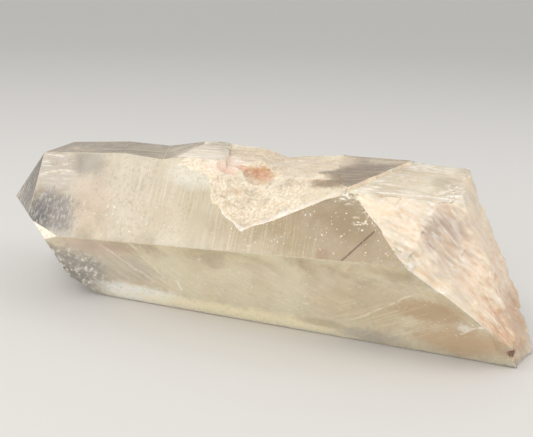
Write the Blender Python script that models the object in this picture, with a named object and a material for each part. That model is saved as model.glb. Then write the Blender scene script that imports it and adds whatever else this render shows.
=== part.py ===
"""Smoky quartz point lying on a prism face, with a crystal imprint and a broken base.

The crystal's long c axis runs along X, with the tip toward -X and the broken base toward +X.
It rests on one of its six prism faces, so Z is up. The origin is the middle of the bounding
box, at the level of the surface that it rests on. Lengths are in metres.

Every flat face is given by three values: its turn around the c axis, where 0 degrees faces the
viewer (-Y) and 90 degrees faces up; its lean toward the tip in degrees, negative toward the
base; and its distance in millimetres from the hub, a point on the c axis halfway along.
"""
import math

import bmesh
import bpy
from mathutils import Vector, noise

MM = 0.001

# Driving dimensions
OBJECT_NAME = "smoky_quartz_point"
NODE_NAME = "quartz_point"
HUB = Vector((0.0, 0.0, 27.0)) * MM
STOCK_ROOM = ((-130.0, -60.0, -20.0), (130.0, 60.0, 90.0))
SNAP = 0.0005 * MM

# The six growth faces of the prism; each of the two back ones bends inward near the tip
PRISM_FACES = {
    "rest": (-90.0, 0.0, 27.0),
    "lower_front": (-28.9, 0.2, 22.2),
    "upper_front": (30.8, 4.3, 26.0),
    "top": (90.6, 4.8, 30.6),
    "upper_back": (150.1, 1.0, 25.8),
    "upper_back_tip": (152.0, 4.5, 27.6),
    "lower_back": (-150.0, 0.6, 26.5),
    "lower_back_tip": (-147.5, 3.6, 27.6),
}

# The six faces of the tip, and one sliver at its front corner
TIP_FACES = {
    "tip_upper_front": (30.6, 41.0, 63.96),
    "tip_top": (85.8, 44.5, 69.7),
    "tip_lower_front": (-32.3, 37.9, 57.35),
    "tip_rest": (-89.2, 35.9, 53.6),
    "tip_upper_back": (150.0, 38.0, 64.0),
    "tip_lower_back": (-150.0, 38.6, 59.0),
    "tip_sliver": (4.8, 12.8, 37.6),
}

# Fracture facets of the broken base
BASE_FACES = {
    "base_top_front": (37.9, -3.2, 32.3),
    "base_front": (24.3, -37.8, 59.4),
    "base_corner": (14.8, -69.4, 86.4),
    "base_end": (80.0, -62.3, 73.2),
    "base_back": (163.1, -46.2, 69.4),
    "base_back_low": (-177.0, -56.3, 82.4),
}
BASE_STREAK = Vector((0.71, 0.33, -0.62))
BASE_ACROSS = Vector((0.34, 0.61, 0.72))
BASE_GRAIN = 2.1 * MM
BASE_RELIEF = 1.5 * MM

# Room that each cutter takes up, as its lowest and highest corners in millimetres
DIP_ROOM = ((-100.0, -60.0, 30.0), (0.0, 60.0, 80.0))
CREST_ROOM = ((-40.0, -60.0, 30.0), (16.0, 60.0, 80.0))
WIDE_TOP_ROOM = ((0.0, -60.0, 30.0), (130.0, 60.0, 80.0))
SLAB_ROOM = ((20.0, -32.0, 40.0), (84.0, 24.0, 64.0))
ROUGH_TOP_ROOM = ((-16.0, -32.0, 40.0), (22.0, 24.0, 64.0))
SADDLE_ROOM = ((-6.0, -32.0, 40.0), (46.0, 24.0, 64.0))
IMPRINT_ROOM = ((-18.0, -36.0, 30.0), (46.0, 24.0, 66.0))
BACK_NOTCH_ROOM = ((-36.0, 18.0, 6.0), (8.0, 40.0, 46.0))

# Shallow dip across the top face, and the crest that follows it toward the base
DIP_FACES = {
    "dip_tip_side": (93.7, -1.6, 25.5),
    "dip_base_side": (88.2, 12.0, 32.2),
}
CREST_FACES = {
    "crest_base_side": (86.6, -1.6, 28.0),
}

# Beyond the imprint the top is a lower and wider growth face
WIDE_TOP_FACES = {
    "wide_top": (85.0, 0.8, 26.5),
    "wide_top_start": (0.0, -90.0, 14.0),
}

# Cleaved slab next to the base, a little lower than the wide top
SLAB_FACES = {
    "slab_floor": (83.6, -1.9, 27.8),
    "slab_wall": (12.6, -63.3, 42.9),
}
SLAB_GRAIN = 4.5 * MM
SLAB_RELIEF = 0.3 * MM

# Imprint of a neighbouring crystal in the upper front edge, with a crusted skin
IMPRINT_FACES = {
    "imprint_left": (50.7, -33.7, 18.5),
    "imprint_low": (62.5, -17.8, 21.4),
    "imprint_right": (57.1, 16.6, 19.2),
}
CRUST_GRAIN = 2.0 * MM
CRUST_RELIEF = 0.8 * MM
CRUST_STREAK = Vector((1.0, 0.2, 0.0))

# Saddle behind the imprint, which shows as a notch in the top outline
SADDLE_FACES = {
    "saddle_left": (87.0, -19.9, 26.1),
    "saddle_right": (85.0, 7.4, 22.8),
}

# Rough ground of the top face around the imprint
ROUGH_TOP_FACES = {
    "rough_top_floor": (80.6, 0.4, 26.1),
    "rough_top_wall": (164.4, -73.3, -5.2),
}

# Broken steps where the top face meets the upper front face, left of the imprint
STEP_COUNT = 3
STEP_START = -5.2 * MM
STEP_PITCH = 4.2 * MM
STEP_FLOOR = (60.0, 3.0, 30.05)
STEP_DROP = 0.45
STEP_WALL_LEAN = -62.0

# Growth ledges on the two back faces: the ledge's floor, and where along the crystal it starts
LEDGES = (
    ((150.1, 1.0, 25.25), 33.0),
    ((150.4, 1.3, 24.6), 58.0),
    ((-150.0, 0.6, 25.9), 12.0),
    ((-149.6, 0.4, 25.2), 47.0),
)

# Contact notch in the edge between the two back faces
BACK_NOTCH_FACES = {
    "back_notch_tip_side": (178.0, -24.0, 18.4),
    "back_notch_base_side": (174.0, 17.0, 29.9),
}

# Dissolution pits, as the centre and radius in millimetres of the ball that each fits
PITS = (
    ((5.6, -5.2, 51.6), 4.8),
    ((1.0, -12.6, 50.0), 3.9),
    ((-3.6, -9.4, 54.2), 3.4),
    ((0.4, -5.0, 55.0), 3.6),
    ((88.8, -14.2, 6.6), 1.4),
    ((-12.0, 27.4, 33.6), 3.0),
    ((40.0, 30.2, 23.0), 3.2),
)
PIT_STRETCH = Vector((1.2, 0.9, 1.0))
PIT_RELIEF = 0.5 * MM


def facing(turn, lean):
    """Unit normal of a face from its turn around the c axis and its lean toward the tip."""
    turn = math.radians(turn)
    lean = math.radians(lean)
    around = Vector((0.0, -math.cos(turn), math.sin(turn)))
    return Vector((-math.sin(lean), 0.0, 0.0)) + around * math.cos(lean)


def plane_of(face):
    """A point on the face's plane, and its normal."""
    turn, lean, distance = face
    normal = facing(turn, lean)
    return HUB + normal * distance * MM, normal


def stock(room=STOCK_ROOM):
    """A block to cut from, with a face layer that will hold each face's zone number."""
    low = Vector(room[0]) * MM
    high = Vector(room[1]) * MM
    bm = bmesh.new()
    bmesh.ops.create_cube(bm, size=1.0)
    bmesh.ops.scale(bm, vec=high - low, verts=bm.verts)
    bmesh.ops.translate(bm, vec=(low + high) / 2.0, verts=bm.verts)
    bm.faces.layers.int.new("zone")
    return bm


def cut(bm, point, normal, zone):
    """Cut away what lies beyond the plane, and cap the cut with a face of that zone."""
    layer = bm.faces.layers.int["zone"]
    everything = bm.verts[:] + bm.edges[:] + bm.faces[:]
    bmesh.ops.bisect_plane(bm, geom=everything, dist=SNAP, plane_co=point, plane_no=normal, clear_outer=True)
    rim = [edge for edge in bm.edges if edge.is_boundary]
    if rim:
        capped = bmesh.ops.holes_fill(bm, edges=rim, sides=0)
        for face in capped["faces"]:
            face[layer] = zone


def score(bm, zone, directions, grain):
    """Divide the faces of one zone along each direction, without moving anything."""
    layer = bm.faces.layers.int["zone"]
    for direction in directions:
        faces = [face for face in bm.faces if face[layer] == zone]
        reach = [vert.co.dot(direction) for face in faces for vert in face.verts]
        if not reach:
            return
        place = min(reach) + grain * 0.5
        while place < max(reach):
            faces = [face for face in bm.faces if face[layer] == zone]
            edges = list({edge for face in faces for edge in face.edges})
            verts = list({vert for face in faces for vert in face.verts})
            bmesh.ops.bisect_plane(
                bm, geom=verts + edges + faces, dist=grain * 0.12, plane_co=direction * place, plane_no=direction
            )
            place += grain


def score_zones(bm, zones, streak, grain):
    """Divide each rough zone into a slightly skewed grid that follows the streak direction."""
    for zone, normal in zones.items():
        along = (streak - normal * streak.dot(normal)).normalized()
        across = normal.cross(along)
        score(bm, zone, (across, (along + across * 0.3).normalized()), grain)
    layer = bm.faces.layers.int["zone"]
    bmesh.ops.triangulate(bm, faces=[face for face in bm.faces if face[layer] in zones])
    bm.normal_update()


def splinter_relief(co):
    """Height of a splintery fracture, from -1 to 1, with ridges along the streak direction."""
    along = co.dot(BASE_STREAK)
    across = co.dot(BASE_ACROSS)
    ridges = noise.noise(Vector((across * 260.0, along * 70.0, 2.0)))
    swells = noise.noise(co * 75.0 + Vector((4.0, 0.0, 9.0)))
    chips = noise.cell(Vector((across * 120.0, along * 45.0, 5.0))) - 0.5
    return 0.55 * ridges + 0.6 * swells + 0.45 * chips


def crust_relief(co):
    """Height of a lumpy crust, from -1 to 1."""
    lumps = noise.noise(co * 250.0)
    swells = noise.noise(co * 95.0 + Vector((3.7, 1.1, 8.2)))
    return 0.8 * lumps + 0.6 * swells


def roughen(bm, zones, relief, depth):
    """Move the points of the rough zones, keeping every flat neighbour flat."""
    layer = bm.faces.layers.int["zone"]
    moves = []
    for vert in bm.verts:
        rough = [face for face in vert.link_faces if face[layer] in zones]
        if not rough:
            continue
        flat_normals = []
        for face in vert.link_faces:
            known = any(face.normal.dot(other) > 0.9995 for other in flat_normals)
            if face[layer] not in zones and not known:
                flat_normals.append(face.normal.copy())
        if len(flat_normals) > 1:
            continue
        outward = sum((face.normal for face in rough), Vector()).normalized()
        direction = outward
        if flat_normals:
            flat = flat_normals[0]
            direction = (outward - flat * outward.dot(flat)).normalized() * 0.5
        moves.append((vert, direction * relief(vert.co) * depth))
    for vert, move in moves:
        vert.co += move


def make_object(bm, name, collection):
    """Turn the cut shape into an object of the collection."""
    bmesh.ops.recalc_face_normals(bm, faces=bm.faces)
    mesh = bpy.data.meshes.new(name)
    bm.to_mesh(mesh)
    bm.free()
    obj = bpy.data.objects.new(name, mesh)
    collection.objects.link(obj)
    return obj


def make_collection(name):
    collection = bpy.data.collections.new(name)
    bpy.context.scene.collection.children.link(collection)
    return collection


def make_material():
    """Pale champagne quartz."""
    material = bpy.data.materials.new("smoky_quartz")
    material.use_nodes = True
    shader = material.node_tree.nodes["Principled BSDF"]
    shader.inputs["Base Color"].default_value = (0.62, 0.54, 0.42, 1.0)
    shader.inputs["Roughness"].default_value = 0.25
    shader.inputs["IOR"].default_value = 1.544
    shader.inputs["Metallic"].default_value = 0.0
    return material


def crystal_body():
    """Prism, tip and broken base, cut from one block by their planes."""
    bm = stock()
    for face in list(PRISM_FACES.values()) + list(TIP_FACES.values()):
        cut(bm, *plane_of(face), 0)
    zones = {}
    for zone, face in enumerate(BASE_FACES.values(), start=1):
        point, normal = plane_of(face)
        cut(bm, point, normal, zone)
        zones[zone] = normal
    score_zones(bm, zones, BASE_STREAK, BASE_GRAIN)
    roughen(bm, set(zones), splinter_relief, BASE_RELIEF)
    return bm


def hollow(faces, room, grain=0.0, relief=None, depth=0.0):
    """A cutter for a hollow whose walls are the given faces, rough where a grain is given."""
    bm = stock(room)
    zones = {}
    for zone, face in enumerate(faces.values(), start=1):
        point, normal = plane_of(face)
        cut(bm, point, -normal, zone)
        zones[zone] = normal
    if grain:
        score_zones(bm, zones, CRUST_STREAK, grain)
        roughen(bm, set(zones), relief, depth)
    return bm


def ledge_hollow(floor, start):
    """The thin layer missing from a face beyond a growth ledge."""
    bm = stock()
    point, normal = plane_of(floor)
    cut(bm, point, -normal, 1)
    wall = Vector((start * MM, 0.0, HUB.z))
    cut(bm, wall, -facing(floor[0], -85.0), 2)
    return bm


def step_hollow(index):
    """One of the broken steps, each a little lower than the one before."""
    turn, lean, distance = STEP_FLOOR
    floor = (turn, lean, distance - STEP_DROP * index)
    bm = stock()
    point, normal = plane_of(floor)
    cut(bm, point, -normal, 1)
    wall = Vector((STEP_START + STEP_PITCH * index, 0.0, HUB.z))
    cut(bm, wall, -facing(45.0 + 12.0 * index, STEP_WALL_LEAN), 2)
    return bm


def pit(centre, radius):
    """A lumpy ball that leaves a shallow dissolution pit."""
    bm = bmesh.new()
    bmesh.ops.create_icosphere(bm, subdivisions=3, radius=radius * MM)
    bmesh.ops.scale(bm, vec=PIT_STRETCH, verts=bm.verts)
    bmesh.ops.translate(bm, vec=Vector(centre) * MM, verts=bm.verts)
    middle = Vector(centre) * MM
    for vert in bm.verts:
        outward = (vert.co - middle).normalized()
        vert.co += outward * crust_relief(vert.co) * PIT_RELIEF
    return bm


def cut_with(body, bm, name, collection):
    """Take the cutter away from the body, and show it only as a wire guide."""
    cutter = make_object(bm, name, collection)
    cutter.hide_render = True
    cutter.display_type = "WIRE"
    boolean = body.modifiers.new(name, "BOOLEAN")
    boolean.operation = "DIFFERENCE"
    boolean.solver = "EXACT"
    boolean.object = cutter


def main():
    for obj in list(bpy.data.objects):
        bpy.data.objects.remove(obj, do_unlink=True)
    parts = make_collection(OBJECT_NAME)
    cutters = make_collection("cutters")
    body = make_object(crystal_body(), NODE_NAME, parts)
    body.data.materials.append(make_material())
    crust = (CRUST_GRAIN, crust_relief, CRUST_RELIEF)
    cut_with(body, hollow(DIP_FACES, DIP_ROOM), "dip_cutter", cutters)
    cut_with(body, hollow(CREST_FACES, CREST_ROOM), "crest_cutter", cutters)
    cut_with(body, hollow(WIDE_TOP_FACES, WIDE_TOP_ROOM), "wide_top_cutter", cutters)
    cut_with(body, hollow(SLAB_FACES, SLAB_ROOM, SLAB_GRAIN, crust_relief, SLAB_RELIEF), "slab_cutter", cutters)
    cut_with(body, hollow(ROUGH_TOP_FACES, ROUGH_TOP_ROOM, *crust), "rough_top_cutter", cutters)
    cut_with(body, hollow(SADDLE_FACES, SADDLE_ROOM, *crust), "saddle_cutter", cutters)
    for index in range(STEP_COUNT):
        cut_with(body, step_hollow(index), "step_cutter_%d" % (index + 1), cutters)
    cut_with(body, hollow(IMPRINT_FACES, IMPRINT_ROOM, *crust), "imprint_cutter", cutters)
    cut_with(body, hollow(BACK_NOTCH_FACES, BACK_NOTCH_ROOM, *crust), "back_notch_cutter", cutters)
    for index, (floor, start) in enumerate(LEDGES):
        cut_with(body, ledge_hollow(floor, start), "ledge_cutter_%d" % (index + 1), cutters)
    for index, (centre, radius) in enumerate(PITS):
        cut_with(body, pit(centre, radius), "pit_cutter_%d" % (index + 1), cutters)


main()
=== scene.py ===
"""Looks of a smoky quartz point: clear to milky quartz with fine broken and crusted relief.

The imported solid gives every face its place. The crystal shown here is a copy of it with worn edges, finer
relief on the broken and crusted zones, and veils of bubbles inside. Lengths are in metres, and the tables
of places are in millimetres.
"""

import math
from collections import namedtuple

import bmesh
import bpy
from mathutils import Matrix, Vector, noise


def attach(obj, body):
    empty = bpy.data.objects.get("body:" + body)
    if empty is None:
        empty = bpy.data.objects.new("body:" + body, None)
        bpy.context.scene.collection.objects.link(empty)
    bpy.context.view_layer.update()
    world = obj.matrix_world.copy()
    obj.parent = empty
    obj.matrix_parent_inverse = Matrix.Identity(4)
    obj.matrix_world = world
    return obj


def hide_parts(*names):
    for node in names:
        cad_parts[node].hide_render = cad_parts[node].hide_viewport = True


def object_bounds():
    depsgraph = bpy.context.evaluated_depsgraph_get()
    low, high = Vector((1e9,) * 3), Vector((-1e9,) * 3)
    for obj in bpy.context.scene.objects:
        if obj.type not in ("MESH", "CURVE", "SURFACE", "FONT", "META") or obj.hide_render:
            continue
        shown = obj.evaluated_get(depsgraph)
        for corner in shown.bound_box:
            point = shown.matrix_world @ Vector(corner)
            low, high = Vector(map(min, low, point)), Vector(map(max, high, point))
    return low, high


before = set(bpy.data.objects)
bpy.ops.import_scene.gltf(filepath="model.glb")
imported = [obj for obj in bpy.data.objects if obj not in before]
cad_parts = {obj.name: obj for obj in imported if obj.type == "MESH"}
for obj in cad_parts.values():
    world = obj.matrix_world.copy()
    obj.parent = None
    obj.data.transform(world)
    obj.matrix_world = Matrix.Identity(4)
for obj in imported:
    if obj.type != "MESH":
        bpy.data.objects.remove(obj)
CAD_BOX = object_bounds()

MM = 0.001
NODE = "quartz_point"

# Camera, as fitted to the photo
CAMERA_PLACE = Vector((70.867, -200.056, 103.255)) * MM
CAMERA_TURN = 17.851
CAMERA_TILT = 18.244
CAMERA_ROLL = 1.384
FOCAL_PIXELS = 650.3
PHOTO_WIDTH = 533
SENSOR_WIDTH = 36.0

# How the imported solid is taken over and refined
MERGE = 1e-7
FLAT_AREA = 40.0 * MM * MM
SAME_PLANE = 0.03 * MM
SAME_DIRECTION = 0.99995
IN_LINE = math.radians(0.5)
NO_WIDTH = 0.001 * MM
FINE_CUTS = 3
SMOOTHINGS = 4
WORN_EDGE = 0.12 * MM
WORN_MIN_LENGTH = 1.5 * MM
WORN_MIN_ANGLE = math.radians(14.0)

# Fine relief of the crust, with heights in millimetres and waves to a metre
LUMP_HEIGHT, LUMPS = 0.16, 700.0
GRAIN_HEIGHT, GRAINS = 0.07, 1500.0
GRAIN_START = Vector((5.0, 2.0, 1.0))

# Fine relief of the broken base, which has ridges and steps along its splinters
DOWN_SPLINTERS = Vector((0.71, 0.33, -0.62))
ACROSS_SPLINTERS = Vector((0.34, 0.61, 0.72))
RIDGE_HEIGHT, RIDGE_SHARPNESS, RIDGE_START = 0.30, 2.4, 7.0
RIDGES_ACROSS, RIDGES_ALONG = 620.0, 130.0
STEP_HEIGHT, STEP_START = 0.45, 3.0
STEPS_ACROSS, STEPS_ALONG = 380.0, 90.0
CHIP_HEIGHT, CHIPS = 0.08, 1700.0

# Optical values of quartz with a light smoky tint
QUARTZ_IOR = 1.544
SMOKE_COLOUR = (0.82, 0.66, 0.46, 1.0)
SMOKE_DENSITY = 8.0
MILK_DEPTH_SHARE = 0.6
MILK_DEPTH = 9.0 * MM
MILK_RADIUS = (1.0, 0.8, 0.55)

ZONES = ("upper_front", "lower_front", "top", "slab", "back", "rest", "tip", "crust", "broken", "worn")

# Which way a face has to look to belong to a zone, and where the rough zones end, in millimetres
SIDEWAYS = 0.4
UPRIGHT = 0.9
BACK_FROM_Y = 17.0
BACK_TO_X = 72.0
BASE_FROM_X = 36.0
TIP_TO_X = -60.0
CRUST_FROM_X = -20.0

# Stage: rings of the floor as radius and height, and the lights as name, place, size, power and colour
FLOOR_LEVEL = -0.0002
FLOOR_RINGS = ((0.0, 0.0), (0.6, 0.0), (1.5, 0.0), (2.0, 0.04), (2.5, 0.16), (3.0, 0.40), (3.4, 0.75))
FLOOR_SEGMENTS = 64
FLOOR_ROUGHNESS = 0.9
FLOOR_SPECULAR = 0.2
LIGHTS = (
    ("key", (-0.25, -0.35, 0.75), (0.5, 0.4), 2.5, (1.0, 0.97, 0.93)),
    ("front", (-0.3, -1.75, 0.85), (1.8, 0.9), 14.0, (1.0, 1.0, 1.0)),
    ("side", (0.75, 0.05, 0.5), (0.4, 0.4), 1.7, (1.0, 1.0, 1.0)),
)
LIGHTS_AIM = Vector((0.0, 0.0, 0.03))
SURROUND_COLOUR = (0.95, 0.95, 0.96, 1.0)
SURROUND_STRENGTH = 0.78

# Directions on the faces: along the crystal, up or over a face, and slanting across it
ALONG = (1.0, 0.0, 0.0)
UP_UPPER_FRONT = (0.0, 0.511, 0.857)
UP_TIP = (0.55, 0.35, 0.76)
OVER_TOP = (0.0, 1.0, 0.0)
SLANT_UP = (0.7, 0.36, 0.61)
DOWN_TO_BASE = (0.85, 0.25, -0.46)

# Reach across a face for a mark that is as deep as the crystal, in millimetres
DEEP = 60.0

# Grain of the marks: sizes in millimetres, waves to a metre and how far a wavy line strays
FINE_GRAIN = 1.1
BROAD_GRAIN = 6.0
WAVES = 180.0
WAVE = 0.003

# Where a patch starts to show and where it is full, in reaches, and the full part of a line
PATCH_BORDER = (1.25, 0.5)
LINE_CORE = 0.3

# Noise values between which a mark is hidden and shown, and what still shows of it where it is hidden
STROKE_GAPS = (0.35, 0.58, 0.45)
PATCH_GAPS = (0.30, 0.55, 0.72)
STREAK_GAPS = (0.47, 0.68)
FLECK_GAPS = (0.67, 0.75)

# How see-through the quartz is under lines, streaks and flecks
MARK_CLEARNESS = 0.1

# Noise values between which one tone drifts into the other
DRIFT = (0.35, 0.65)

# Surfaces. Sizes, lengths and depths are in millimetres. SHOWS are the noise values where something starts
# to show and where it is full, and COVER is how strongly it shows then. CLEARS are the noise values of the
# milkiest and the clearest quartz, and CLEARNESS is how see-through the quartz is there.
CLOUD_SIZE = 13.0
SNOW_SHOWS = (0.52, 0.70)
SNOW_COVER = 0.22
SHADE_SHOWS = (0.47, 0.33)
SHADE_COVER = 0.14
GROWTH_LINE_SIZE = 0.9
GROWTH_LINE_LENGTH = 9.0
GROWTH_LINE_DEPTH = 0.03
FACE_ROUGHNESS = (0.07, 0.22)
CRUST_CLOUD_SIZE = 4.0
CRUST_CLEARS = (0.45, 0.70)
CRUST_CLEARNESS = (0.05, 0.35)
CRUST_GRAIN_SIZE = 0.9
CRUST_GRAIN_DEPTH = 0.12
CRUST_ROUGHNESS = 0.42
PIT_SIZE = 1.2
PIT_SHOWS = (0.30, 0.10)
PIT_COVER = 0.45
PIT_DEPTH = 0.10
BROKEN_CLOUD_SIZE = 8.0
BROKEN_CLEARS = (0.40, 0.70)
BROKEN_CLEARNESS = (0.10, 0.45)
BROKEN_ROUGHNESS = 0.36
FIBRE_SIZE = 0.8
FIBRE_LENGTH = 6.0
FIBRE_DEPTH = 0.16
FIBRE_GAP_SHOWS = (0.44, 0.30)
FIBRE_GAP_COVER = 0.5
WORN_GRAIN_SIZE = 0.8
WORN_GRAIN_DEPTH = 0.05
WORN_CLEARNESS = 0.35
WORN_ROUGHNESS = 0.30

# Marks on a face, with places, reaches and sizes in millimetres. Cover is how strongly a mark shows, and
# clear is how see-through the quartz is there.
Patch = namedtuple("Patch", "middle reach tint cover clear")
Streaks = namedtuple("Streaks", "middle reach size length direction tint cover")
Stroke = namedtuple("Stroke", "start end width tint cover wavy", defaults=[True])
Flecks = namedtuple("Flecks", "middle reach size tint cover")


def srgb(red, green, blue):
    """A colour picked on a screen, as the linear values that a shader takes."""
    channels = []
    for value in (red, green, blue):
        value /= 255.0
        channels.append(value / 12.92 if value <= 0.04045 else ((value + 0.055) / 1.055) ** 2.4)
    return (*channels, 1.0)


class Nodes:
    """Adds nodes to one material and joins them up."""

    def __init__(self, name):
        self.material = bpy.data.materials.new(name)
        self.material.use_nodes = True
        self.tree = self.material.node_tree
        self.shader = self.tree.nodes["Principled BSDF"]
        self.place = self.tree.nodes.new("ShaderNodeTexCoord").outputs["Object"]
        self.fine = self.noise(FINE_GRAIN, 3.0, 0.7)
        broad = self.noise(BROAD_GRAIN, 3.0, 0.6)
        self.ragged = self.math("SUBTRACT", self.math("ADD", broad, self.fine), 1.0)
        wobble = self.add("ShaderNodeTexNoise", {"Vector": self.place, "Scale": WAVES}, output=1)
        wobble = self.vector("SUBTRACT", wobble, (0.5, 0.5, 0.5))
        wobble = self.vector("MULTIPLY", wobble, (WAVE, WAVE, WAVE))
        self.wavy = self.vector("ADD", self.place, wobble)

    def feed(self, socket, value):
        """Set an input to a constant, or link it to another node's output."""
        if isinstance(value, bpy.types.NodeSocket):
            self.tree.links.new(value, socket)
        else:
            socket.default_value = value

    def add(self, kind, inputs, output=0, **settings):
        """Add a node with these settings and inputs, and give one of its outputs."""
        node = self.tree.nodes.new(kind)
        for key, value in settings.items():
            setattr(node, key, value)
        for key, value in inputs.items():
            self.feed(node.inputs[key], value)
        return node.outputs[output]

    def math(self, operation, first, second=0.0, third=0.0):
        return self.add("ShaderNodeMath", {0: first, 1: second, 2: third}, operation=operation)

    def vector(self, operation, first, second=(0.0, 0.0, 0.0), output=0):
        return self.add("ShaderNodeVectorMath", {0: first, 1: second}, output, operation=operation)

    def remap(self, value, low, high, to_low=0.0, to_high=1.0):
        ends = {"Value": value, "From Min": low, "From Max": high, "To Min": to_low, "To Max": to_high}
        return self.add("ShaderNodeMapRange", ends, interpolation_type="SMOOTHSTEP")

    def mix(self, amount, first, second):
        return self.add("ShaderNodeMix", {0: amount, 6: first, 7: second}, 2, data_type="RGBA")

    def stretched(self, size, length, direction):
        """The place in lumps of this size, drawn out to this length in this direction."""
        direction = Vector(direction).normalized()
        along = self.vector("DOT_PRODUCT", self.place, direction, output=1)
        shift = self.add(
            "ShaderNodeVectorMath",
            {0: direction * (1.0 - size / length), "Scale": along},
            operation="SCALE",
        )
        return self.vector("SUBTRACT", self.place, shift)

    def noise(self, size, detail=3.0, rough=0.55, length=None, direction=ALONG, warp=0.0):
        """Noise with lumps of about this size in millimetres, drawn out to a length in a direction.

        Detail is the number of finer layers in it, rough is how strong they are, and warp bends it.
        """
        place = self.place if length is None else self.stretched(size, length, direction)
        inputs = {"Vector": place, "Scale": 1.0 / (size * MM), "Detail": detail, "Roughness": rough}
        inputs["Distortion"] = warp
        return self.add("ShaderNodeTexNoise", inputs)

    def cells(self, size):
        """Distance from the middles of cells of about this size in millimetres."""
        inputs = {"Vector": self.wavy, "Scale": 1.0 / (size * MM)}
        return self.add("ShaderNodeTexVoronoi", inputs, "Distance", feature="F1")

    def inside(self, middle, reach):
        """1 inside an ellipsoid, given in millimetres, 0 outside it, with a ragged, grainy border."""
        offset = self.vector("SUBTRACT", self.place, Vector(middle) * MM)
        distance = self.vector("LENGTH", self.vector("DIVIDE", offset, Vector(reach) * MM), output=1)
        return self.remap(self.math("ADD", distance, self.ragged), *PATCH_BORDER)

    def near_line(self, start, end, width, wavy):
        """1 on a line between two points, given in millimetres, 0 away from it."""
        start, end = Vector(start) * MM, Vector(end) * MM
        direction = (end - start).normalized()
        offset = self.vector("SUBTRACT", self.wavy if wavy else self.place, start)
        along = self.vector("DOT_PRODUCT", offset, direction, output=1)
        along = self.math("MINIMUM", self.math("MAXIMUM", along, 0.0), (end - start).length)
        nearest = self.add("ShaderNodeVectorMath", {0: direction, "Scale": along}, operation="SCALE")
        distance = self.vector("LENGTH", self.vector("SUBTRACT", offset, nearest), output=1)
        return self.remap(distance, width * MM, width * MM * LINE_CORE)

    def paint(self, mark, colour, clear):
        """Add one mark to the colour and to how clear the quartz is."""
        clearness = MARK_CLEARNESS
        if isinstance(mark, Stroke):
            amount = self.near_line(mark.start, mark.end, mark.width, mark.wavy)
            if mark.wavy:
                amount = self.math("MULTIPLY", amount, self.remap(self.fine, *STROKE_GAPS))
        else:
            amount = self.inside(mark.middle, mark.reach)
        if isinstance(mark, Patch):
            clearness = mark.clear
            amount = self.math("MULTIPLY", amount, self.remap(self.fine, *PATCH_GAPS))
        if isinstance(mark, Streaks):
            lines = self.noise(mark.size, 2.0, 0.6, mark.length, mark.direction)
            amount = self.math("MULTIPLY", amount, self.remap(lines, *STREAK_GAPS))
        if isinstance(mark, Flecks):
            spots = self.noise(mark.size, 1.0, 0.5)
            amount = self.math("MULTIPLY", amount, self.remap(spots, *FLECK_GAPS))
        amount = self.math("MULTIPLY", amount, mark.cover)
        colour = self.mix(amount, colour, mark.tint)
        kept = self.math("MULTIPLY", clear, self.math("SUBTRACT", 1.0, amount))
        return colour, self.math("MULTIPLY_ADD", amount, clearness, kept)

    def bump(self, height, depth, normal=None):
        """Fine relief of this depth in millimetres, on top of another one if given."""
        inputs = {"Height": height, "Distance": depth * MM, "Strength": 1.0}
        if normal is not None:
            inputs["Normal"] = normal
        return self.add("ShaderNodeBump", inputs)

    def quartz(self, colour, clear, roughness, normal):
        """Finish the material as quartz with these, and the smoky tint inside it."""
        self.feed(self.shader.inputs["Base Color"], colour)
        self.feed(self.shader.inputs["Transmission Weight"], clear)
        self.feed(self.shader.inputs["Roughness"], roughness)
        self.feed(self.shader.inputs["Normal"], normal)
        self.shader.inputs["IOR"].default_value = QUARTZ_IOR
        self.shader.inputs["Subsurface Weight"].default_value = MILK_DEPTH_SHARE
        self.shader.inputs["Subsurface Radius"].default_value = MILK_RADIUS
        self.shader.inputs["Subsurface Scale"].default_value = MILK_DEPTH
        smoke = self.tree.nodes.new("ShaderNodeVolumeAbsorption")
        smoke.inputs["Color"].default_value = SMOKE_COLOUR
        smoke.inputs["Density"].default_value = SMOKE_DENSITY
        output = self.tree.nodes["Material Output"]
        self.tree.links.new(smoke.outputs["Volume"], output.inputs["Volume"])
        return self.material


WHITE = srgb(244, 240, 231)
SNOW = srgb(242, 237, 226)
CREAM = srgb(244, 234, 208)
HAZE = srgb(240, 231, 214)
SMOKE = srgb(222, 203, 170)
PEACH = srgb(236, 214, 192)
RUST = srgb(206, 146, 100)
BROWN = srgb(122, 88, 64)
# Painted shade: grey for the clear window on the upper front near the tip
PAINTED_SHADE_GREY = srgb(122, 122, 124)
# Painted shade: dark grey for the clear patch on the left of the lower front
PAINTED_SHADE_DARK_GREY = srgb(72, 74, 75)
STRAW = srgb(202, 186, 156)
FAWN = srgb(204, 192, 168)
TAN = srgb(200, 178, 140)
UMBER = srgb(136, 108, 84)
SAND = srgb(196, 172, 138)
WHEAT = srgb(206, 184, 148)
SHADE = srgb(120, 106, 86)
PIT = srgb(184, 154, 120)
FIBRE_GAP = srgb(222, 188, 154)
CRUST_TONES = (srgb(211, 194, 166), srgb(236, 227, 208))
BROKEN_TONES = (srgb(235, 217, 191), srgb(244, 232, 212))
WORN_TONES = (srgb(206, 188, 154), srgb(232, 219, 192))
FLOOR_COLOUR = srgb(208, 206, 202)

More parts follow.
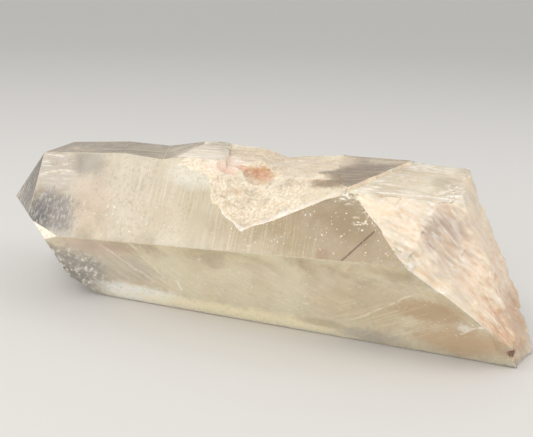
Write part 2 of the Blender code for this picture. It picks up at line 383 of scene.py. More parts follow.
# What each growth face looks like: two tones that drift into each other, how clear each of them is, and
# the marks on it, of which a later one covers an earlier one
FACE_LOOKS = {
    "upper_front": (
        (srgb(226, 212, 184), srgb(240, 230, 208)),
        (0.60, 0.40),
        (
            Patch((-28.0, -18.0, 44.0), (34.0, DEEP, 20.0), HAZE, 0.70, 0.25),
            Patch((38.0, -25.0, 42.0), (24.0, DEEP, 16.0), srgb(217, 196, 158), 0.85, 0.65),
            Patch((-20.0, -18.0, 44.0), (13.0, DEEP, 14.0), srgb(224, 211, 186), 0.60, 0.35),
            Patch((-8.0, -22.0, 42.0), (8.0, DEEP, 14.0), srgb(232, 222, 192), 0.70, 0.50),
            Patch((2.0, -25.0, 34.0), (8.0, DEEP, 12.0), srgb(222, 208, 176), 0.60, 0.45),
            Patch((16.0, -25.0, 35.0), (16.0, DEEP, 10.0), srgb(216, 197, 160), 0.65, 0.50),
            Patch((-50.0, -19.0, 38.0), (10.0, DEEP, 10.0), PEACH, 0.45, 0.40),
            Patch((-67.0, -14.0, 46.0), (11.0, DEEP, 8.0), srgb(237, 229, 218), 0.80, 0.45),
            Patch((-55.0, -12.0, 50.0), (8.0, DEEP, 4.0), srgb(214, 210, 202), 0.60, 0.60),
            # Painted shade: neutral greys over the clear window on the upper front near the tip
            Patch((-65.5, -20.0, 33.5), (12.0, DEEP, 7.5), srgb(204, 202, 198), 0.90, 0.70),
            Patch((-70.0, -20.0, 32.0), (5.5, DEEP, 5.0), srgb(168, 168, 170), 0.55, 0.80),
            Patch((-60.0, -23.0, 26.5), (12.0, DEEP, 2.5), srgb(236, 228, 214), 0.60, 0.40),
            Streaks((-68.0, -13.0, 48.0), (10.0, DEEP, 7.0), 0.8, 7.0, ALONG, SNOW, 0.60),
            Streaks((-66.0, -19.0, 34.0), (12.0, DEEP, 9.0), 0.8, 2.0, UP_UPPER_FRONT, SNOW, 0.45),
            # Painted shade: grey streaks in that clear window
            Streaks((-66.0, -19.0, 34.0), (12.0, DEEP, 9.0), 1.2, 3.0, SLANT_UP, PAINTED_SHADE_GREY, 0.45),
            Streaks((-22.0, -16.0, 47.0), (16.0, DEEP, 10.0), 0.6, 16.0, UP_UPPER_FRONT, WHITE, 0.30),
            Streaks((-22.0, -16.0, 46.0), (18.0, DEEP, 12.0), 0.8, 18.0, UP_UPPER_FRONT, STRAW, 0.45),
            Streaks((2.0, -24.0, 37.0), (10.0, DEEP, 14.0), 0.5, 18.0, UP_UPPER_FRONT, WHITE, 0.22),
            Streaks((18.0, -26.0, 36.0), (18.0, DEEP, 9.0), 0.5, 12.0, UP_UPPER_FRONT, CREAM, 0.22),
            # White steps, partly milky quartz and partly a painted highlight
            Patch((-14.0, -15.0, 51.0), (11.0, DEEP, 4.5), srgb(228, 224, 210), 0.85, 0.15),
            Streaks((-16.0, -14.5, 52.0), (14.0, DEEP, 6.0), 0.6, 9.0, (1.0, 0.1, -0.25), FAWN, 0.70),
            Flecks((38.0, -23.0, 44.0), (18.0, DEEP, 12.0), 0.9, WHITE, 0.90),
            Flecks((8.0, -24.5, 38.0), (16.0, DEEP, 7.0), 0.7, WHITE, 0.95),
            Flecks((-34.0, -19.0, 36.0), (24.0, DEEP, 7.0), 1.2, WHITE, 0.60),
            Patch((33.0, -29.0, 35.0), (2.2, DEEP, 1.6), srgb(176, 142, 104), 0.60, 0.50),
            Streaks((40.5, -19.5, 51.0), (8.0, DEEP, 2.8), 1.1, 2.6, ALONG, WHITE, 1.00),
            Streaks((43.2, -23.0, 44.9), (3.4, DEEP, 2.2), 1.3, 1.8, ALONG, WHITE, 1.00),
            Stroke((-61.6, -11.7, 49.3), (-57.3, -19.5, 36.8), 0.6, srgb(206, 182, 160), 0.60),
            Stroke((38.3, -29.6, 34.0), (46.6, -25.1, 42.7), 0.50, srgb(98, 68, 48), 0.90, False),
            Stroke((38.3, -29.6, 34.0), (41.0, -28.1, 36.8), 0.60, BROWN, 0.60, False),
        ),
    ),
    "lower_front": (
        (srgb(243, 229, 197), srgb(251, 239, 210)),
        (0.60, 0.40),
        (
            Patch((4.0, -20.0, 16.0), (34.0, DEEP, 14.0), srgb(252, 239, 207), 0.60, 0.35),
            # Painted shade: grey over the clear patch on the left of the lower front
            Patch((-60.0, -15.0, 11.0), (18.0, DEEP, 12.0), srgb(200, 198, 193), 0.80, 0.75),
            Patch((-47.0, -23.0, 25.5), (16.0, DEEP, 5.0), srgb(236, 214, 196), 0.75, 0.50),
            Patch((-36.0, -19.0, 16.0), (12.0, DEEP, 6.0), srgb(226, 219, 203), 0.60, 0.60),
            # Painted light: a near-white glow along the bottom of the lower front
            Patch((-36.0, -13.0, 4.0), (20.0, DEEP, 5.5), srgb(255, 251, 243), 0.95, 0.05),
            Patch((2.0, -12.0, 2.0), (46.0, DEEP, 5.0), srgb(255, 238, 204), 0.95, 0.05),
            Patch((31.0, -12.0, 5.5), (9.0, DEEP, 2.0), srgb(206, 192, 156), 0.55, 0.50),
            Patch((46.0, -12.5, 3.4), (11.0, DEEP, 3.0), srgb(226, 220, 208), 0.75, 0.65),
            Patch((44.0, -19.0, 17.0), (16.0, DEEP, 10.0), srgb(228, 205, 164), 0.50, 0.50),
            Patch((63.6, -21.0, 18.7), (11.0, DEEP, 5.0), srgb(204, 166, 124), 0.75, 0.45),
            Patch((75.0, -16.5, 8.0), (15.0, DEEP, 7.0), srgb(222, 184, 142), 0.75, 0.45),
            Streaks((-60.0, -15.0, 12.0), (15.0, DEEP, 12.0), 1.7, 3.6, (0.5, -0.4, 0.7), WHITE, 1.00),
            # Painted shade: dark grey streaks in that clear patch
            Streaks((-58.0, -15.0, 13.0), (16.0, DEEP, 12.0), 0.8, 2.4, (0.8, 0.3, -0.5), PAINTED_SHADE_DARK_GREY, 0.70),
            Streaks((-30.0, -18.0, 15.0), (22.0, DEEP, 12.0), 0.9, 12.0, (0.74, 0.32, -0.6), SNOW, 0.30),
            Streaks((16.0, -21.0, 17.0), (24.0, DEEP, 11.0), 1.0, 12.0, DOWN_TO_BASE, SNOW, 0.30),
            Streaks((10.0, -21.0, 17.0), (40.0, DEEP, 11.0), 1.6, 9.0, DOWN_TO_BASE, TAN, 0.22),
            Streaks((50.0, -18.0, 12.0), (24.0, DEEP, 10.0), 0.9, 12.0, (0.8, -0.29, 0.53), CREAM, 0.30),
            Stroke((-43.1, -24.7, 26.0), (-28.3, -17.1, 12.3), 1.0, SNOW, 0.50),
            Stroke((-31.7, -26.0, 28.5), (-22.6, -17.8, 13.5), 0.9, SNOW, 0.45),
            Stroke((-19.1, -18.2, 14.3), (-18.0, -16.0, 10.2), 0.8, WHITE, 0.90),
            Stroke((40.9, -15.9, 9.5), (60.4, -25.1, 26.0), 0.6, CREAM, 0.75),
            Stroke((73.8, -17.1, 11.5), (86.0, -22.3, 20.8), 0.6, WHITE, 0.75),
            Flecks((10.0, -18.0, 16.0), (70.0, DEEP, 16.0), 1.6, SNOW, 0.50),
            Patch((74.2, -18.4, 13.9), (2.0, DEEP, 1.6), WHITE, 0.75, 0.10),
            Flecks((73.0, -18.4, 13.9), (7.0, DEEP, 5.0), 1.0, WHITE, 0.90),
            Patch((-66.0, -23.5, 28.4), (6.5, DEEP, 2.4), srgb(255, 246, 228), 1.00, 0.05),
        ),
    ),
    "top": (
        (srgb(200, 184, 156), srgb(222, 207, 178)),
        (0.60, 0.40),
        (
            Patch((-46.0, 0.0, 54.0), (16.0, 30.0, DEEP), srgb(164, 148, 118), 0.50, 0.60),
            Patch((-14.0, -8.0, 55.0), (9.0, 14.0, DEEP), srgb(236, 224, 204), 0.80, 0.15),
            Patch((37.5, -5.0, 54.0), (11.5, 15.0, DEEP), srgb(154, 132, 103), 0.90, 0.55),
            Patch((24.0, 9.0, 54.0), (11.5, 12.0, DEEP), srgb(226, 208, 178), 0.95, 0.25),
            Patch((44.0, 15.0, 55.0), (18.0, 4.0, DEEP), srgb(176, 150, 120), 0.70, 0.45),
            Streaks((-38.0, 0.0, 54.0), (34.0, 40.0, DEEP), 0.8, 20.0, (1.0, 0.12, 0.0), CREAM, 0.50),
            Streaks((-40.0, 0.0, 54.0), (30.0, 40.0, DEEP), 1.2, 16.0, (1.0, 0.22, 0.0), UMBER, 0.40),
            Streaks((-12.0, 0.0, 54.0), (14.0, 40.0, DEEP), 0.6, 10.0, (1.0, 0.25, 0.0), WHITE, 0.60),
            Streaks((40.0, -2.0, 54.0), (12.0, 40.0, DEEP), 1.0, 10.0, (1.0, 0.16, 0.0), SAND, 0.50),
        ),
    ),
    "slab": (
        (srgb(232, 215, 184), srgb(244, 233, 210)),
        (0.45, 0.25),
        (
            Streaks((58.0, -2.0, 53.0), (26.0, 30.0, DEEP), 0.8, 10.0, (1.0, -0.10, 0.0), WHITE, 0.40),
            Stroke((39.0, -16.2, 52.2), (68.0, -13.2, 51.4), 0.9, WHITE, 0.85),
            Streaks((58.0, -2.0, 53.0), (26.0, 30.0, DEEP), 1.0, 8.0, (1.0, 0.10, 0.0), WHEAT, 0.40),
            Patch((63.0, -2.0, 53.5), (5.0, 5.0, DEEP), srgb(212, 198, 166), 0.50, 0.50),
            Streaks((42.0, -9.5, 53.0), (7.0, 6.0, DEEP), 1.2, 4.5, (1.0, 0.3, 0.0), WHITE, 1.00),
            Streaks((54.0, 10.0, 55.0), (11.0, 4.0, DEEP), 1.1, 4.0, ALONG, WHITE, 1.00),
            Streaks((67.0, -9.0, 52.0), (5.0, 8.0, DEEP), 1.3, 3.0, (0.4, 1.0, 0.0), WHITE, 1.00),
        ),
    ),
    "back": (
        (srgb(226, 212, 182), srgb(240, 229, 204)),
        (0.60, 0.40),
        (
            Patch((-55.0, 25.0, 28.0), (20.0, DEEP, 18.0), srgb(206, 200, 188), 0.70, 0.70),
            Patch((10.0, 27.0, 40.0), (30.0, DEEP, 12.0), CREAM, 0.70, 0.25),
            Patch((60.0, 25.0, 20.0), (26.0, DEEP, 14.0), SMOKE, 0.60, 0.50),
            Patch((-10.0, 20.0, 4.0), (50.0, DEEP, 5.0), CREAM, 0.70, 0.30),
            Streaks((-20.0, 25.0, 40.0), (50.0, DEEP, 12.0), 0.6, 16.0, (0.0, -0.5, 0.87), WHITE, 0.40),
            Streaks((20.0, 25.0, 14.0), (60.0, DEEP, 12.0), 0.8, 16.0, (0.0, 0.5, 0.87), SNOW, 0.35),
            Flecks((30.0, 25.0, 25.0), (60.0, DEEP, 24.0), 1.5, WHITE, 0.70),
        ),
    ),
    "rest": (
        (srgb(224, 208, 174), srgb(238, 225, 198)),
        (0.55, 0.35),
        (Streaks((0.0, 0.0, 0.0), (90.0, DEEP, DEEP), 0.7, 12.0, OVER_TOP, SNOW, 0.40),),
    ),
    "tip": (
        (srgb(176, 164, 146), srgb(214, 203, 184)),
        (0.70, 0.45),
        (
            # Painted shade: near-opaque dark brown over the clear tip face
            Patch((-80.0, -11.0, 40.0), (16.0, 13.0, 17.0), srgb(70, 58, 48), 0.96, 0.10),
            Patch((-67.0, -23.5, 27.5), (9.0, 6.0, 4.5), srgb(255, 244, 224), 1.00, 0.05),
            Streaks((-82.0, -10.0, 38.0), (14.0, 16.0, 20.0), 0.8, 7.0, UP_TIP, CREAM, 0.35),
            # Painted shade: dark streaks on the tip face
            Streaks((-82.0, -10.0, 38.0), (14.0, 30.0, 30.0), 0.9, 6.0, UP_TIP, srgb(60, 48, 38), 0.50),
            Streaks((-82.0, 10.0, 20.0), (14.0, 30.0, 30.0), 0.8, 8.0, UP_TIP, SNOW, 0.40),
        ),
    ),
}


def growth_face(name):
    """A natural prism or tip face: clear to milky, with growth lines, veils and small inclusions, and
    painted shade and painted light in places.
    """
    (dark, light), (clearest, milkiest), marks = FACE_LOOKS[name]
    nodes = Nodes("quartz_" + name)
    cloud = nodes.noise(CLOUD_SIZE, 4.0, 0.62, warp=0.5)
    colour = nodes.mix(nodes.remap(cloud, *DRIFT), dark, light)
    clear = nodes.remap(cloud, *DRIFT, clearest, milkiest)
    for mark in marks:
        colour, clear = nodes.paint(mark, colour, clear)
    snow = nodes.remap(nodes.fine, *SNOW_SHOWS)
    colour = nodes.mix(nodes.math("MULTIPLY", snow, SNOW_COVER), colour, WHITE)
    shade = nodes.remap(nodes.fine, *SHADE_SHOWS)
    colour = nodes.mix(nodes.math("MULTIPLY", shade, SHADE_COVER), colour, SHADE)
    roughness = nodes.remap(cloud, *DRIFT, *FACE_ROUGHNESS)
    lines = nodes.noise(GROWTH_LINE_SIZE, 3.0, 0.6, length=GROWTH_LINE_LENGTH, direction=UP_UPPER_FRONT)
    return nodes.quartz(colour, clear, roughness, nodes.bump(lines, GROWTH_LINE_DEPTH))


# Iron stains, pits, rings and bright borders of the crust
CRUST_MARKS = (
    Patch((8.0, 8.0, 54.0), (18.0, 14.0, 5.0), srgb(212, 192, 162), 0.75, 0.20),
    Patch((22.0, 3.0, 53.0), (11.0, 12.0, 6.0), srgb(234, 218, 190), 0.80, 0.30),
    Patch((-7.0, -6.0, 54.0), (7.0, 9.0, 4.0), srgb(242, 222, 206), 0.80, 0.10),
    Patch((30.0, -18.0, 49.0), (9.0, 5.0, 4.0), srgb(236, 224, 198), 0.60, 0.35),
    Patch((31.5, -13.2, 52.5), (10.0, 2.6, 3.0), srgb(160, 138, 110), 0.75, 0.40),
    Patch((34.0, -7.0, 53.3), (6.5, 9.0, 3.0), srgb(154, 132, 103), 0.85, 0.45),
    Patch((7.0, -5.0, 48.0), (4.0, 3.6, 3.6), srgb(232, 206, 174), 0.80, 0.20),
    Patch((4.0, -2.0, 50.2), (4.4, 2.8, 2.6), RUST, 0.80, 0.10),
    Patch((-1.0, -4.0, 51.5), (3.4, 2.0, 1.8), srgb(214, 162, 130), 0.65, 0.10),
    Patch((-4.5, -8.0, 51.0), (2.6, 2.4, 2.4), srgb(216, 174, 148), 0.55, 0.10),
    Patch((0.5, -12.0, 45.5), (2.2, 2.2, 1.8), srgb(216, 182, 144), 0.45, 0.20),
    Streaks((4.0, 6.0, 54.0), (24.0, 16.0, 6.0), 0.6, 5.0, ALONG, WHITE, 0.60),
    Streaks((4.0, 4.0, 54.0), (24.0, 14.0, 6.0), 0.8, 4.0, ALONG, srgb(176, 142, 108), 0.45),
    Stroke((-9.5, -15.0, 51.0), (-6.5, -19.0, 45.3), 0.9, srgb(224, 190, 158), 0.60),
    Stroke((-6.5, -19.0, 45.3), (-2.2, -21.5, 41.6), 0.8, srgb(224, 190, 158), 0.50),
    Streaks((6.0, -19.0, 43.0), (13.0, 9.0, 9.0), 0.5, 5.0, UP_UPPER_FRONT, srgb(206, 178, 142), 0.40),
    Stroke((-2.2, -21.5, 41.6), (6.4, -24.8, 37.2), 1.6, WHITE, 0.60),
    Stroke((6.4, -24.8, 37.2), (18.1, -22.2, 43.3), 1.8, WHITE, 0.60),
    Stroke((18.1, -22.2, 43.3), (37.7, -18.1, 52.7), 1.6, WHITE, 0.50),
    Stroke((19.5, -11.5, 51.2), (29.4, -11.0, 52.8), 0.6, srgb(222, 172, 140), 0.70),
    Stroke((13.0, -9.0, 50.0), (19.5, -11.5, 51.2), 0.6, srgb(222, 172, 140), 0.50),
)


def crust():
    """Cream white crust of the imprint, rough to the touch, with iron stains in its pits."""
    nodes = Nodes("quartz_crust")
    grain = nodes.noise(CRUST_GRAIN_SIZE, 4.0, 0.65)
    colour = nodes.mix(nodes.remap(grain, *DRIFT), *CRUST_TONES)
    clear = nodes.remap(nodes.noise(CRUST_CLOUD_SIZE, 3.0, 0.6), *CRUST_CLEARS, *CRUST_CLEARNESS)
    for mark in CRUST_MARKS:
        colour, clear = nodes.paint(mark, colour, clear)
    pits = nodes.remap(nodes.cells(PIT_SIZE), *PIT_SHOWS)
    colour = nodes.mix(nodes.math("MULTIPLY", pits, PIT_COVER), colour, PIT)
    normal = nodes.bump(grain, CRUST_GRAIN_DEPTH)
    normal = nodes.bump(nodes.cells(PIT_SIZE), PIT_DEPTH, normal)
    return nodes.quartz(colour, clear, CRUST_ROUGHNESS, normal)


# The upper facet of the broken base is cream with a clearer window, and the far one is pinkish tan. The
# splinters run down toward the foot of the base.
SPLINTERS = (0.62, 0.25, -0.74)
BROKEN_MARKS = (
    Patch((80.0, -10.0, 28.0), (9.0, 40.0, 34.0), srgb(252, 228, 202), 0.80, 0.25),
    Patch((88.0, -8.0, 11.0), (9.0, 30.0, 12.0), srgb(214, 174, 139), 0.75, 0.30),
    Patch((65.0, -20.0, 44.0), (6.0, 30.0, 6.5), srgb(226, 208, 192), 0.90, 0.50),
    Patch((70.0, -19.0, 36.0), (6.0, 30.0, 9.0), srgb(232, 210, 190), 0.50, 0.45),
    Streaks((60.0, -22.0, 40.0), (20.0, 30.0, 18.0), 0.9, 9.0, SPLINTERS, WHITE, 0.60),
    Streaks((60.0, -22.0, 38.0), (22.0, 30.0, 20.0), 1.2, 7.0, SPLINTERS, srgb(214, 186, 152), 0.45),
    Streaks((80.0, -12.0, 26.0), (12.0, 40.0, 30.0), 0.9, 6.0, SPLINTERS, srgb(252, 240, 222), 0.65),
    Streaks((84.0, -4.0, 20.0), (12.0, 40.0, 26.0), 1.0, 5.0, SPLINTERS, srgb(208, 160, 124), 0.55),
    Stroke((38.5, -17.5, 51.8), (60.0, -28.5, 33.0), 1.2, WHITE, 0.85),
    Stroke((60.0, -28.5, 33.0), (88.0, -16.0, 8.0), 1.0, WHITE, 0.75),
    Patch((89.0, -14.0, 5.9), (1.5, 3.0, 1.5), srgb(96, 62, 50), 0.95, 0.10),
)


def broken():
    """Splintery broken base, pale cream to pinkish tan, with white splinter edges."""
    nodes = Nodes("quartz_broken")
    tone = nodes.noise(BROKEN_CLOUD_SIZE, 4.0, 0.6, warp=0.5)
    colour = nodes.mix(nodes.remap(tone, *DRIFT), *BROKEN_TONES)
    clear = nodes.remap(tone, *BROKEN_CLEARS, *BROKEN_CLEARNESS)
    for mark in BROKEN_MARKS:
        colour, clear = nodes.paint(mark, colour, clear)
    fibre = nodes.noise(FIBRE_SIZE, 4.0, 0.65, length=FIBRE_LENGTH, direction=SPLINTERS)
    gaps = nodes.math("MULTIPLY", nodes.remap(fibre, *FIBRE_GAP_SHOWS), FIBRE_GAP_COVER)
    colour = nodes.mix(gaps, colour, FIBRE_GAP)
    return nodes.quartz(colour, clear, BROKEN_ROUGHNESS, nodes.bump(fibre, FIBRE_DEPTH))


def worn():
    """Bruised edges, which catch the light as thin cream lines."""
    nodes = Nodes("quartz_worn_edge")
    grain = nodes.noise(WORN_GRAIN_SIZE, 3.0, 0.6)
    colour = nodes.mix(nodes.remap(grain, *DRIFT), *WORN_TONES)
    return nodes.quartz(colour, WORN_CLEARNESS, WORN_ROUGHNESS, nodes.bump(grain, WORN_GRAIN_DEPTH))


def solid_copy():
    """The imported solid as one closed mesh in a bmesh."""
    bm = bmesh.new()
    bm.from_mesh(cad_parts[NODE].data)
    bmesh.ops.remove_doubles(bm, verts=bm.verts, dist=MERGE)
    bm.normal_update()
    return bm


def same_plane(face, other):
    """Whether two faces look the same way and lie in one plane."""
    offset = other.calc_center_median() - face.calc_center_median()
    return face.normal.dot(other.normal) > SAME_DIRECTION and abs(offset.dot(face.normal)) < SAME_PLANE


def coplanar_groups(bm):
    """Faces that touch and lie in one plane, group by group."""
    met = set()
    groups = []
    for start in bm.faces:
        if start in met:
            continue
        met.add(start)
        group = [start]
        for face in group:
            near = {other for edge in face.edges for other in edge.link_faces if other not in met}
            for other in sorted(near, key=lambda item: item.index):
                if same_plane(start, other):
                    met.add(other)
                    group.append(other)
        groups.append(group)
    return groups


def face_zone(normal):
    """Which growth face has this normal."""
    if normal.x < -SIDEWAYS:
        return "tip"
    if normal.z < -UPRIGHT:
        return "rest"
    if normal.z > UPRIGHT:
        return "top"
    if normal.y > SIDEWAYS:
        return "back"
    return "upper_front" if normal.z > 0.0 else "lower_front"


def rough_zone(centre, normal):
    """Which zone a small or rough facet at this place belongs to."""
    x, y, _ = centre / MM
    if y > BACK_FROM_Y and x < BACK_TO_X:
        return "back"
    if x > BASE_FROM_X and normal.z > UPRIGHT:
        return "slab"
    if x > BASE_FROM_X:
        return "broken"
    if x < TIP_TO_X and y < 0.0:
        return "tip"
    if x < CRUST_FROM_X:
        return "back"
    return "crust"


def mark_zones(bm):
    """Give every face its zone as material number, and mark the flat faces in a layer."""
    flat_layer = bm.faces.layers.int.new("flat")
    bm.faces.index_update()
    for group in coplanar_groups(bm):
        if sum(face.calc_area() for face in group) > FLAT_AREA:
            for face in group:
                face[flat_layer] = 1
                face.material_index = ZONES.index(face_zone(face.normal))
        else:
            for face in group:
                face.material_index = ZONES.index(rough_zone(face.calc_center_median(), face.normal))
    return flat_layer


def wear_edges(bm, flat_layer):
    """Bevel the long sharp edges between flat faces a little."""
    edges = []
    for edge in bm.edges:
        long_enough = edge.calc_length() > WORN_MIN_LENGTH
        between_flats = all(face[flat_layer] for face in edge.link_faces)
        if long_enough and between_flats and edge.calc_face_angle() > WORN_MIN_ANGLE:
            edges.append(edge)
    made = bmesh.ops.bevel(
        bm, geom=edges, offset=WORN_EDGE, segments=2, profile=0.5, affect="EDGES", clamp_overlap=False
    )
    for face in made["faces"]:
        face.material_index = ZONES.index("worn")
        face[flat_layer] = 0


def crust_height(co):
    """Height of the crust's lumps and grains in millimetres."""
    lumps = noise.noise(co * LUMPS)
    grains = noise.noise(co * GRAINS + GRAIN_START)
    return LUMP_HEIGHT * lumps + GRAIN_HEIGHT * grains


def broken_height(co):
    """Height of the broken base's ridges, steps and chips in millimetres."""
    along = co.dot(DOWN_SPLINTERS)
    across = co.dot(ACROSS_SPLINTERS)
    waves = noise.noise(Vector((across * RIDGES_ACROSS, along * RIDGES_ALONG, RIDGE_START)))
    ridges = 1.0 - RIDGE_SHARPNESS * abs(waves)
    steps = noise.cell(Vector((across * STEPS_ACROSS, along * STEPS_ALONG, STEP_START))) - 0.5
    return RIDGE_HEIGHT * ridges + STEP_HEIGHT * steps + CHIP_HEIGHT * noise.noise(co * CHIPS)


def refine_rough(bm, flat_layer):
    """Divide the rough zones, soften their facets and give them fine relief. Flat faces stay flat."""
    worn_zone = ZONES.index("worn")
    rough = [face for face in bm.faces if not face[flat_layer] and face.material_index != worn_zone]
    edges = list({edge for face in rough for edge in face.edges})
    bmesh.ops.subdivide_edges(bm, edges=edges, cuts=FINE_CUTS, use_grid_fill=True)
    bm.normal_update()
    inner = []
    for vert in bm.verts:
        if all(not face[flat_layer] and face.material_index != worn_zone for face in vert.link_faces):
            inner.append(vert)
    for _ in range(SMOOTHINGS):
        bmesh.ops.smooth_vert(
            bm, verts=inner, factor=0.5, use_axis_x=True, use_axis_y=True, use_axis_z=True
        )
    bm.normal_update()
    broken_zone = ZONES.index("broken")
    for vert in inner:
        splintery = any(face.material_index == broken_zone for face in vert.link_faces)
        height = broken_height(vert.co) if splintery else crust_height(vert.co)
        vert.co += vert.normal * height * MM


def keep_in_box(bm):
    """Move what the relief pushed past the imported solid's box back onto the box."""
    low, high = CAD_BOX
    for vert in bm.verts:
        for axis in range(3):
            vert.co[axis] = min(max(vert.co[axis], low[axis]), high[axis])


def remove_slivers(bm):
    """Divide the many-sided faces into triangles, and take out those that have no width."""
    many_sided = [face for face in bm.faces if len(face.verts) > 4]
    bmesh.ops.triangulate(bm, faces=many_sided, quad_method="BEAUTY", ngon_method="BEAUTY")
    bmesh.ops.dissolve_degenerate(bm, dist=NO_WIDTH, edges=bm.edges)


def set_shading(bm, flat_layer):
    """Rough zones are smooth, and flat faces keep sharp edges all round."""
    for face in bm.faces:
        face.smooth = not face[flat_layer]
    for edge in bm.edges:
        edge.smooth = not any(face[flat_layer] for face in edge.link_faces)


def zone_material(name):
    """The material of one zone."""
    rough_looks = {"crust": crust, "broken": broken, "worn": worn}
    return rough_looks[name]() if name in rough_looks else growth_face(name)


def make_crystal():
    """The crystal as shown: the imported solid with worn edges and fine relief."""
    bm = solid_copy()
    flat_layer = mark_zones(bm)
    inner_edges = [edge for edge in bm.edges if all(face[flat_layer] for face in edge.link_faces)]
    bmesh.ops.dissolve_limit(bm, angle_limit=IN_LINE, verts=[], edges=inner_edges)
    wear_edges(bm, flat_layer)
    refine_rough(bm, flat_layer)
    keep_in_box(bm)
    remove_slivers(bm)
    set_shading(bm, flat_layer)
    mesh = bpy.data.meshes.new("crystal")
    bm.to_mesh(mesh)
    bm.free()
    for name in ZONES:
        mesh.materials.append(zone_material(name))
    crystal = bpy.data.objects.new("crystal", mesh)
    bpy.context.scene.collection.objects.link(crystal)
    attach(crystal, "root")
    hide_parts(NODE)


# Veils of tiny bubbles and healed cracks inside the crystal: one corner and two sides in millimetres,
# how far they ripple, and how dense they are
Veil = namedtuple("Veil", "corner side depth ripple density")
VEILS = (
    Veil((-46.0, -19.0, 22.0), (17.0, 8.0, -15.0), (6.0, 18.0, 8.0), 1.2, 0.75),
    Veil((-33.0, -20.0, 25.0), (13.0, 8.0, -15.0), (4.0, 14.0, 6.0), 1.0, 0.65),
    Veil((-22.0, -13.0, 18.0), (5.0, 3.0, -12.0), (6.0, 12.0, 4.0), 0.8, 0.80),
    Veil((-62.0, -6.0, 46.0), (6.0, -7.0, -14.0), (10.0, 12.0, 4.0), 1.0, 0.60),
    Veil((-30.0, -6.0, 46.0), (26.0, 0.0, -4.0), (-3.0, -6.0, -16.0), 2.0, 0.50),
    Veil((38.0, -12.0, 9.0), (22.0, -6.0, 15.0), (4.0, 18.0, 4.0), 1.4, 0.65),
    Veil((2.0, -16.0, 12.0), (30.0, 4.0, 12.0), (-4.0, 16.0, 4.0), 2.0, 0.55),
    Veil((56.0, -14.0, 32.0), (20.0, 6.0, -20.0), (-6.0, 16.0, 6.0), 1.6, 0.70),
    Veil((10.0, 4.0, 40.0), (34.0, 4.0, -8.0), (4.0, 14.0, -10.0), 2.0, 0.55),
    Veil((-58.0, 4.0, 20.0), (24.0, 10.0, 4.0), (6.0, -4.0, 16.0), 1.6, 0.55),
)

# Steps along each side of a veil, its ripples to a millimetre and the power of its thinning out
VEIL_STEPS = 20
RIPPLE_WAVES = 0.16
BORDER_FADE = 0.6

# Surface of a veil, with its size in millimetres
WISP_SIZE = 2.6
WISP_WARP = 1.2
WISP_SHOWS = (0.46, 0.72)
VEIL_ROUGHNESS = 0.5


def veil_material():
    """Fine white bubbles in wisps, which let most of the light past."""
    nodes = Nodes("quartz_veil")
    wisps = nodes.noise(WISP_SIZE, 5.0, 0.65, warp=WISP_WARP)
    fade = nodes.add("ShaderNodeVertexColor", {}, layer_name="fade")
    solid = nodes.math("MULTIPLY", nodes.remap(wisps, *WISP_SHOWS), fade)
    nodes.feed(nodes.shader.inputs["Alpha"], solid)
    nodes.feed(nodes.shader.inputs["Base Color"], nodes.mix(nodes.fine, WHITE, CREAM))
    nodes.shader.inputs["Roughness"].default_value = VEIL_ROUGHNESS
    return nodes.material


def make_veils():
    """All veils as one piece of rippled sheets, thinning out toward their borders."""
    bm = bmesh.new()
    fades = []
    for number, veil in enumerate(VEILS):
        side, depth = Vector(veil.side), Vector(veil.depth)
        normal = side.cross(depth).normalized()
        rows = []
        for i in range(VEIL_STEPS + 1):
            row = []
            for j in range(VEIL_STEPS + 1):
                u, v = i / VEIL_STEPS, j / VEIL_STEPS
                co = Vector(veil.corner) + side * u + depth * v
                co += normal * veil.ripple * noise.noise(co * RIPPLE_WAVES + Vector((number, 0.0, 0.0)))
                row.append(bm.verts.new(co * MM))
                fade = math.sin(math.pi * u) ** BORDER_FADE * math.sin(math.pi * v) ** BORDER_FADE
                fades.append(veil.density * fade)
            rows.append(row)
        for first, second in zip(rows, rows[1:]):
            for k in range(VEIL_STEPS):
                bm.faces.new((first[k], first[k + 1], second[k + 1], second[k])).smooth = True
    mesh = bpy.data.meshes.new("veils")
    bm.to_mesh(mesh)
    bm.free()
    colours = mesh.color_attributes.new("fade", "FLOAT_COLOR", "POINT")
    for item, fade in zip(colours.data, fades):
        item.color = (fade, fade, fade, 1.0)
    mesh.materials.append(veil_material())
    veils = bpy.data.objects.new("veils", mesh)
    bpy.context.scene.collection.objects.link(veils)
    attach(veils, "root")


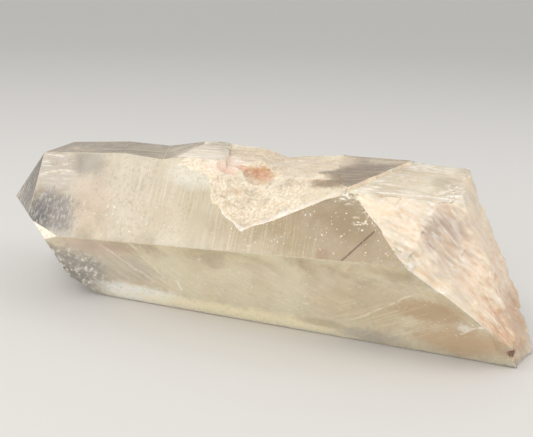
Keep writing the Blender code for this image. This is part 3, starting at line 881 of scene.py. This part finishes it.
def make_floor():
    """Pale seamless floor that the crystal lies on: a wide disc whose rim rises gently all round."""
    bm = bmesh.new()
    profile = [bm.verts.new((radius, 0.0, height + FLOOR_LEVEL)) for radius, height in FLOOR_RINGS]
    edges = [bm.edges.new(pair) for pair in zip(profile, profile[1:])]
    axis, middle = (0.0, 0.0, 1.0), (0.0, 0.0, 0.0)
    bmesh.ops.spin(
        bm, geom=profile + edges, axis=axis, cent=middle, angle=math.tau, steps=FLOOR_SEGMENTS
    )
    bmesh.ops.remove_doubles(bm, verts=bm.verts, dist=NO_WIDTH)
    bmesh.ops.recalc_face_normals(bm, faces=bm.faces)
    for face in bm.faces:
        face.smooth = True
    mesh = bpy.data.meshes.new("floor")
    bm.to_mesh(mesh)
    bm.free()
    material = bpy.data.materials.new("pale_floor")
    material.use_nodes = True
    shader = material.node_tree.nodes["Principled BSDF"]
    shader.inputs["Base Color"].default_value = FLOOR_COLOUR
    shader.inputs["Roughness"].default_value = FLOOR_ROUGHNESS
    shader.inputs["Specular IOR Level"].default_value = FLOOR_SPECULAR
    mesh.materials.append(material)
    floor = bpy.data.objects.new("floor", mesh)
    bpy.context.scene.collection.objects.link(floor)


def make_light(name, place, size, power, colour):
    """One rectangular light that is turned toward the crystal."""
    data = bpy.data.lights.new(name, "AREA")
    data.shape = "RECTANGLE"
    data.size, data.size_y = size
    data.energy = power
    data.color = colour
    light = bpy.data.objects.new(name, data)
    light.location = Vector(place)
    light.rotation_mode = "QUATERNION"
    light.rotation_quaternion = (LIGHTS_AIM - light.location).to_track_quat("-Z", "Y")
    bpy.context.scene.collection.objects.link(light)


def make_lights():
    """Soft studio light: a pale surround, a key from above, a broad light in front and one at the side."""
    world = bpy.data.worlds.new("pale_surround")
    world.use_nodes = True
    surround = world.node_tree.nodes["Background"]
    surround.inputs["Color"].default_value = SURROUND_COLOUR
    surround.inputs["Strength"].default_value = SURROUND_STRENGTH
    bpy.context.scene.world = world
    for light in LIGHTS:
        make_light(*light)
    bpy.context.scene.view_settings.view_transform = "Standard"


def make_camera():
    """The photo's camera: where it stood, how it was turned, tilted and rolled, and its focal length."""
    data = bpy.data.cameras.new("camera")
    data.sensor_width = SENSOR_WIDTH
    data.lens = SENSOR_WIDTH * FOCAL_PIXELS / PHOTO_WIDTH
    data.clip_start = 0.01
    camera = bpy.data.objects.new("camera", data)
    turn, tilt, roll = (math.radians(angle) for angle in (CAMERA_TURN, CAMERA_TILT, CAMERA_ROLL))
    right = Vector((math.cos(turn), math.sin(turn), 0.0))
    ahead = Vector((-math.sin(turn) * math.cos(tilt), math.cos(turn) * math.cos(tilt), -math.sin(tilt)))
    up = right.cross(ahead)
    rolled_right = right * math.cos(roll) + up * math.sin(roll)
    rolled_up = up * math.cos(roll) - right * math.sin(roll)
    axes = Matrix((rolled_right, rolled_up, -ahead)).transposed()
    camera.matrix_world = Matrix.Translation(CAMERA_PLACE) @ axes.to_4x4()
    bpy.context.scene.collection.objects.link(camera)
    bpy.context.scene.camera = camera


make_crystal()
make_veils()
make_floor()
make_lights()
make_camera()
